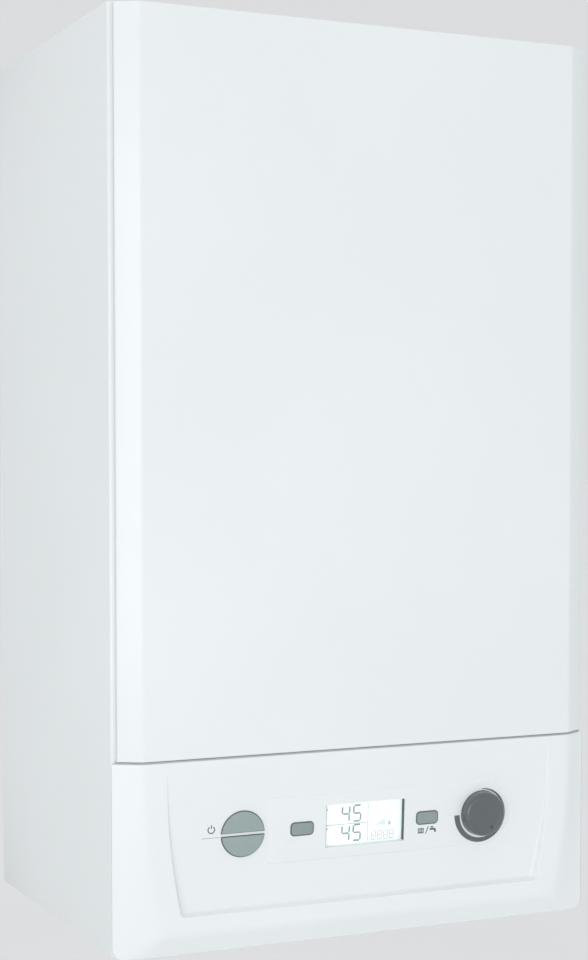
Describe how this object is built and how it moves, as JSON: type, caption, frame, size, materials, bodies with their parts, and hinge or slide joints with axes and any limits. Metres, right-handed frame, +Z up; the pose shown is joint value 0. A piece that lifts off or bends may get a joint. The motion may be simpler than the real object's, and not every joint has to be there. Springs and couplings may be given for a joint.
{
  "type": "wall-hung combi boiler",
  "caption": "Wall-hung condensing combi boiler in a chamfered white casing, with a pull-off front, a tilting control box, push buttons, a turning knob and the heating parts inside.",
  "frame": {"origin": "centre of the wall bracket's rear face, on the wall", "axes": "+X to the right seen from the room, +Y into the wall, +Z up; the front faces -Y"},
  "size_m": [0.433, 0.3239, 0.7933],
  "materials": {
    "white_paint": "semi-gloss white paint",
    "white_plastic": "fine satin white moulding",
    "button_grey": "satin grey-green moulding",
    "knob_grey": "satin dark grey moulding",
    "lens_clear": "clear glossy lens",
    "module_grey": "pale display glass in its frame",
    "zinc": "galvanised",
    "stainless": "stainless",
    "cast_aluminium": "as cast",
    "brass": "machined",
    "copper": "bare copper tube",
    "black_plastic": "satin",
    "grey_plastic": "satin",
    "red_paint": "semi-gloss",
    "red_plastic": "glossy",
    "blue_plastic": "glossy",
    "board_green": "lacquered board",
    "ceramic": "glazed"
  },
  "bodies": {
    "casing": {"wall_bracket": "zinc", "back_frame": "zinc", "left_side_panel": "white_paint", "right_side_panel": "white_paint", "top_panel": "white_paint", "bottom_plate": "zinc", "flue_collar": "black_plastic", "heat_exchanger": "stainless", "flue_pipe": "grey_plastic", "burner_door": "cast_aluminium", "ignition_electrode": "ceramic", "fan_housing": "cast_aluminium", "fan_motor": "black_plastic", "mixing_duct": "cast_aluminium", "venturi": "cast_aluminium", "air_intake_pipe": "grey_plastic", "gas_valve": "cast_aluminium", "gas_pipe": "copper", "expansion_vessel": "red_paint", "vessel_bracket": "zinc", "vessel_pipe": "copper", "flow_block": "brass", "return_block": "brass", "diverter_motor": "black_plastic", "plate_heat_exchanger": "stainless", "pump_body": "grey_plastic", "pump_motor": "black_plastic", "air_vent": "brass", "safety_valve": "brass", "pressure_sensor": "brass", "flow_pipe": "copper", "return_pipe": "copper", "condensate_trap": "white_plastic", "condensate_pipe": "grey_plastic", "heating_flow_tail": "brass", "hot_water_tail": "brass", "gas_tail": "brass", "cold_water_tail": "brass", "heating_return_tail": "brass", "left_hinge_bracket": "zinc", "right_hinge_bracket": "zinc"},
    "front_panel": {"front_panel": "white_paint"},
    "control_box": {"fascia": "white_plastic", "control_tray": "grey_plastic", "wiring_cover": "black_plastic", "main_board": "board_green", "display_window": "lens_clear", "display_module": "module_grey", "display_board": "board_green", "encoder": "black_plastic"},
    "control_knob": {"control_knob": "knob_grey"},
    "upper_round_button": {"upper_round_button": "button_grey"},
    "lower_round_button": {"lower_round_button": "button_grey"},
    "left_small_button": {"left_small_button": "button_grey"},
    "right_small_button": {"right_small_button": "button_grey"},
    "safety_valve_knob": {"safety_valve_knob": "red_plastic"},
    "filling_knob": {"filling_knob": "blue_plastic"}
  },
  "joints": [
    {"name": "front_panel_pull", "type": "slide", "parent": "casing", "child": "front_panel", "axis": [0, -1, 0], "range_m": [0, 0.35]},
    {"name": "control_box_tilt", "type": "hinge", "parent": "casing", "child": "control_box", "pos_m": [0, -0.285, -0.656], "axis": [1, 0, 0], "range_deg": [0, 90]},
    {"name": "control_knob_turn", "type": "hinge", "parent": "control_box", "child": "control_knob", "pos_m": [0.1095, -0.31392, -0.5695], "axis": [0, 0.9985, 0.0555], "range_deg": [-151, 119]},
    {"name": "upper_round_button_press", "type": "slide", "parent": "control_box", "child": "upper_round_button", "axis": [0, 0.9985, 0.0555], "range_m": [0, 0.0012], "stiffness_N_per_m": 800},
    {"name": "lower_round_button_press", "type": "slide", "parent": "control_box", "child": "lower_round_button", "axis": [0, 0.9985, 0.0555], "range_m": [0, 0.0012], "stiffness_N_per_m": 800},
    {"name": "left_small_button_press", "type": "slide", "parent": "control_box", "child": "left_small_button", "axis": [0, 0.9985, 0.0555], "range_m": [0, 0.0012], "stiffness_N_per_m": 800},
    {"name": "right_small_button_press", "type": "slide", "parent": "control_box", "child": "right_small_button", "axis": [0, 0.9985, 0.0555], "range_m": [0, 0.0012], "stiffness_N_per_m": 800},
    {"name": "safety_valve_knob_turn", "type": "hinge", "parent": "casing", "child": "safety_valve_knob", "pos_m": [0.177, -0.1503, -0.588], "axis": [0, -1, 0], "range_deg": [0, 90]},
    {"name": "filling_knob_turn", "type": "hinge", "parent": "casing", "child": "filling_knob", "pos_m": [0.0975, -0.131, -0.6683], "axis": [0, 0, -1], "range_deg": [0, 270]}
  ]
}
